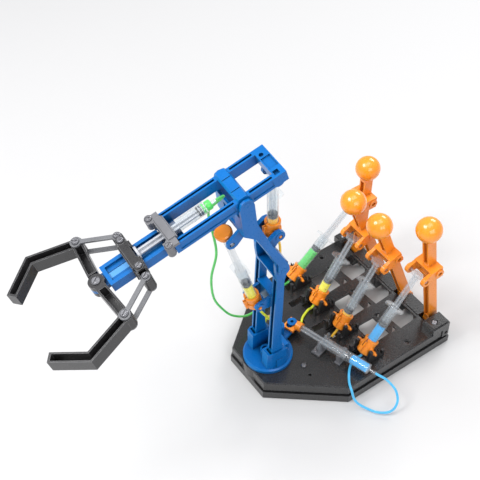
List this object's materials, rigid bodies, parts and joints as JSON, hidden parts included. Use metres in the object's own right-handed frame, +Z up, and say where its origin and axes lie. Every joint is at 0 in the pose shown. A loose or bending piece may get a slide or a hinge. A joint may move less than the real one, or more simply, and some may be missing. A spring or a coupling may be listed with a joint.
{
  "type": "hydraulic robot arm",
  "caption": "Desktop toy robot arm worked by water: lever-pushed syringes slew, tilt and pitch a two-jaw gripper arm on a flat base.",
  "frame": {"origin": "turntable axis at ground level", "axes": "+X towards the gripper, +Y towards the slew syringe's outlet side, +Z up"},
  "size_m": [0.4022, 0.1937, 0.2809],
  "materials": {
    "blue": "satin moulded",
    "orange": "satin moulded",
    "base_grey": "satin moulded",
    "black": "satin moulded",
    "clear": "satin moulded",
    "grey": "satin moulded",
    "silver": "plated",
    "tube_green": "satin moulded",
    "tube_yellow": "satin moulded",
    "tube_gold": "satin moulded",
    "tube_blue": "satin moulded"
  },
  "bodies": {
    "base": {"base_deck": "base_grey", "axle_blocks": "base_grey", "master_brackets": "black", "base_screws": "silver", "lever_axle": "silver", "slew_cradle": "grey", "slew_barrel": "clear", "tube_gripper": "tube_green", "tube_tilt": "tube_yellow", "tube_pitch": "tube_gold", "tube_slew": "tube_blue"},
    "turntable": {"turntable": "blue", "column": "blue", "link_hinge_pins": "blue"},
    "link": {"link_frame": "blue", "rear_barrel": "clear", "rear_collar": "orange", "boom_pivot_pins": "blue"},
    "boom": {"boom_frame": "blue", "syringe_clamp": "grey", "clamp_screws": "silver", "gripper_barrel": "clear", "jaw_pivot_screw": "silver"},
    "crosshead": {"crosshead": "black", "crosshead_screws": "silver", "gripper_plunger": "silver"},
    "jaw_near": {"jaw_near": "black", "jaw_screw_near": "silver"},
    "jaw_far": {"jaw_far": "black", "jaw_screw_far": "silver"},
    "rod_near": {"link_rod_near": "silver"},
    "rod_far": {"link_rod_far": "silver"},
    "front_barrel": {"front_barrel": "clear", "front_collar": "orange"},
    "front_plunger": {"front_plunger": "clear", "front_cap": "orange"},
    "rear_plunger": {"rear_plunger": "clear"},
    "slew_plunger": {"slew_plunger": "clear", "slew_clip": "orange"},
    "lever_1": {"lever_1": "orange", "knob_1": "orange"},
    "master_barrel_1": {"master_barrel_1": "clear", "master_collar_1": "orange"},
    "master_plunger_1": {"master_plunger_1": "clear"},
    "lever_2": {"lever_2": "orange", "knob_2": "orange"},
    "master_barrel_2": {"master_barrel_2": "clear", "master_collar_2": "orange"},
    "master_plunger_2": {"master_plunger_2": "clear"},
    "lever_3": {"lever_3": "orange", "knob_3": "orange"},
    "master_barrel_3": {"master_barrel_3": "clear", "master_collar_3": "orange"},
    "master_plunger_3": {"master_plunger_3": "clear"},
    "lever_4": {"lever_4": "orange", "knob_4": "orange"},
    "master_barrel_4": {"master_barrel_4": "clear", "master_collar_4": "orange"},
    "master_plunger_4": {"master_plunger_4": "clear"}
  },
  "joints": [
    {"name": "yaw", "type": "hinge", "parent": "base", "child": "turntable", "pos_m": [0, 0, 0.02], "axis": [0, 0, 1], "range_deg": [-25, 25], "deforming": ["tube_gripper", "tube_tilt", "tube_pitch", "tube_slew"]},
    {"name": "tilt", "type": "hinge", "parent": "turntable", "child": "link", "pos_m": [-0.00349, 0.00024, 0.163], "axis": [0.0698, 0.9976, 0], "range_deg": [-12, 14]},
    {"name": "pitch", "type": "hinge", "parent": "link", "child": "boom", "pos_m": [0.03199, -0.00224, 0.26395], "axis": [0.0698, 0.9976, 0], "range_deg": [-12, 14]},
    {"name": "grip", "type": "slide", "parent": "boom", "child": "crosshead", "axis": [0.9603, -0.0672, -0.2706], "range_m": [0, 0.0182]},
    {"name": "jaw_near_turn", "type": "hinge", "parent": "boom", "child": "jaw_near", "pos_m": [0.15768, -0.01103, 0.22438], "axis": [0.2699, -0.0189, 0.9627], "range_deg": [-26.03, 0]},
    {"name": "jaw_far_turn", "type": "hinge", "parent": "boom", "child": "jaw_far", "pos_m": [0.15768, -0.01103, 0.22438], "axis": [0.2699, -0.0189, 0.9627], "range_deg": [0, 26.03]},
    {"name": "rod_near_turn", "type": "hinge", "parent": "crosshead", "child": "rod_near", "pos_m": [0.12677, 0.0162, 0.23358], "axis": [0.2699, -0.0189, 0.9627], "range_deg": [-4.97, 0]},
    {"name": "rod_far_turn", "type": "hinge", "parent": "crosshead", "child": "rod_far", "pos_m": [0.12328, -0.03368, 0.23358], "axis": [0.2699, -0.0189, 0.9627], "range_deg": [0, 4.97]},
    {"name": "front_swivel", "type": "hinge", "parent": "turntable", "child": "front_barrel", "pos_m": [0.01526, -0.00107, 0.1138], "axis": [0.0698, 0.9976, 0], "range_deg": [-7.21, 8.41]},
    {"name": "front_stroke", "type": "slide", "parent": "front_barrel", "child": "front_plunger", "axis": [0.2563, -0.0179, 0.9664], "range_m": [-0.00761, 0.00652]},
    {"name": "rear_stroke", "type": "slide", "parent": "link", "child": "rear_plunger", "axis": [0.0031, -0.0002, 1], "range_m": [-0.00774, 0.00903]},
    {"name": "slew_stroke", "type": "slide", "parent": "base", "child": "slew_plunger", "axis": [0.2747, -0.9615, 0], "range_m": [-0.01642, 0.01642]},
    {"name": "lever_1_turn", "type": "hinge", "parent": "base", "child": "lever_1", "pos_m": [-0.161, -0.0593, 0.0152], "axis": [0, 1, 0], "range_deg": [0, 15.18]},
    {"name": "master_1_swivel", "type": "hinge", "parent": "base", "child": "master_barrel_1", "pos_m": [-0.078, -0.0593, 0.0317], "axis": [0, 1, 0], "range_deg": [0, 6.39]},
    {"name": "master_1_stroke", "type": "slide", "parent": "master_barrel_1", "child": "master_plunger_1", "axis": [-0.7624, 0, 0.6471], "range_m": [-0.01822, 0]},
    {"name": "lever_2_turn", "type": "hinge", "parent": "base", "child": "lever_2", "pos_m": [-0.161, -0.0211, 0.0152], "axis": [0, 1, 0], "range_deg": [-5.55, 4.76]},
    {"name": "master_2_swivel", "type": "hinge", "parent": "base", "child": "master_barrel_2", "pos_m": [-0.078, -0.0211, 0.0317], "axis": [0, 1, 0], "range_deg": [-3.19, 2.73]},
    {"name": "master_2_stroke", "type": "slide", "parent": "master_barrel_2", "child": "master_plunger_2", "axis": [-0.5406, 0, 0.8413], "range_m": [-0.00652, 0.00761]},
    {"name": "lever_3_turn", "type": "hinge", "parent": "base", "child": "lever_3", "pos_m": [-0.161, 0.0171, 0.0152], "axis": [0, 1, 0], "range_deg": [-5.63, 6.57]},
    {"name": "master_3_swivel", "type": "hinge", "parent": "base", "child": "master_barrel_3", "pos_m": [-0.078, 0.0171, 0.0317], "axis": [0, 1, 0], "range_deg": [-3.27, 3.82]},
    {"name": "master_3_stroke", "type": "slide", "parent": "master_barrel_3", "child": "master_plunger_3", "axis": [-0.5406, 0, 0.8413], "range_m": [-0.00903, 0.00774]},
    {"name": "lever_4_turn", "type": "hinge", "parent": "base", "child": "lever_4", "pos_m": [-0.161, 0.0553, 0.0152], "axis": [0, 1, 0], "range_deg": [-12.58, 12.58]},
    {"name": "master_4_swivel", "type": "hinge", "parent": "base", "child": "master_barrel_4", "pos_m": [-0.078, 0.0553, 0.0317], "axis": [0, 1, 0], "range_deg": [-6.96, 6.96]},
    {"name": "master_4_stroke", "type": "slide", "parent": "master_barrel_4", "child": "master_plunger_4", "axis": [-0.6289, 0, 0.7775], "range_m": [-0.01642, 0.01642]}
  ],
  "couplings": [
    {"joint": "jaw_near_turn", "follows": "grip", "rad_per_m": -24.933},
    {"joint": "jaw_far_turn", "follows": "grip", "rad_per_m": 24.933},
    {"joint": "rod_near_turn", "follows": "grip", "rad_per_m": -4.7661},
    {"joint": "rod_far_turn", "follows": "grip", "rad_per_m": 4.7661},
    {"joint": "front_swivel", "follows": "tilt", "ratio": 0.6},
    {"joint": "front_stroke", "follows": "tilt", "m_per_rad": -0.031107},
    {"joint": "rear_stroke", "follows": "pitch", "m_per_rad": 0.0369},
    {"joint": "slew_stroke", "follows": "yaw", "m_per_rad": 0.0376},
    {"joint": "lever_1_turn", "follows": "grip", "rad_per_m": 14.547},
    {"joint": "master_1_swivel", "follows": "grip", "rad_per_m": 6.1241},
    {"joint": "master_1_stroke", "follows": "grip", "ratio": -1},
    {"joint": "lever_2_turn", "follows": "tilt", "ratio": -0.39614},
    {"joint": "master_2_swivel", "follows": "tilt", "ratio": -0.22754},
    {"joint": "master_2_stroke", "follows": "tilt", "m_per_rad": 0.031107},
    {"joint": "lever_3_turn", "follows": "pitch", "ratio": 0.46865},
    {"joint": "master_3_swivel", "follows": "pitch", "ratio": 0.27224},
    {"joint": "master_3_stroke", "follows": "pitch", "m_per_rad": -0.0369},
    {"joint": "lever_4_turn", "follows": "yaw", "ratio": 0.50266},
    {"joint": "master_4_swivel", "follows": "yaw", "ratio": 0.27827},
    {"joint": "master_4_stroke", "follows": "yaw", "m_per_rad": -0.0376}
  ]
}
